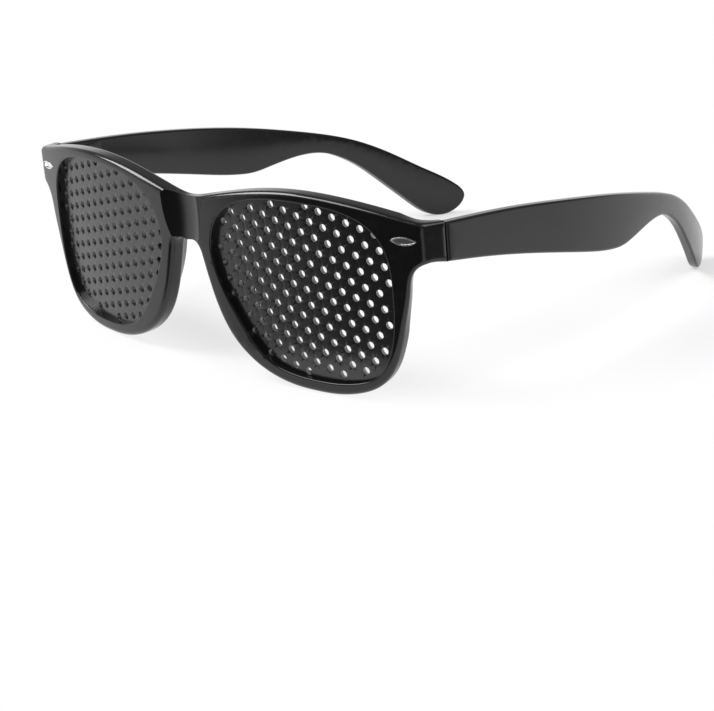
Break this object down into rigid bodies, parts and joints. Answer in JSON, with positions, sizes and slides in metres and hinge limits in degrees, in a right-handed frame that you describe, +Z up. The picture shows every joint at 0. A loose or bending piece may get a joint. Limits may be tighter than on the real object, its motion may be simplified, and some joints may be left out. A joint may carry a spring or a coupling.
{
  "type": "pinhole glasses",
  "caption": "Wrapped full-rim eyewear with opaque lens plates drilled all over with pinholes, a scooped bridge, moulded nose pads and folding temples.",
  "frame": {"origin": "centre of the overall box in X and Y, at the level that the rims and ear tips stand on", "axes": "+X to the viewer's right seen from the front, -Y out of the lenses' faces, +Z up towards the brow"},
  "size_m": [0.1476, 0.153, 0.05],
  "materials": {
    "frame_black": "gloss",
    "lens_black": "gloss",
    "bright_metal": "polished",
    "hinge_black": "satin",
    "screw_metal": "satin"
  },
  "bodies": {
    "front": {"front_frame": "frame_black", "left_lens": "lens_black", "left_emblem": "bright_metal", "left_front_hinge": "hinge_black", "left_hinge_screw": "screw_metal", "right_lens": "lens_black", "right_emblem": "bright_metal", "right_front_hinge": "hinge_black", "right_hinge_screw": "screw_metal"},
    "left_arm": {"left_temple": "frame_black", "left_temple_hinge": "hinge_black"},
    "right_arm": {"right_temple": "frame_black", "right_temple_hinge": "hinge_black"}
  },
  "joints": [
    {"name": "left_fold", "type": "hinge", "parent": "front", "child": "left_arm", "pos_m": [-0.0672, -0.059, 0.04015], "axis": [0, -0.0392, 0.9992], "range_deg": [-74, 0]},
    {"name": "right_fold", "type": "hinge", "parent": "front", "child": "right_arm", "pos_m": [0.0672, -0.059, 0.04015], "axis": [0, -0.0392, 0.9992], "range_deg": [0, 80]}
  ]
}
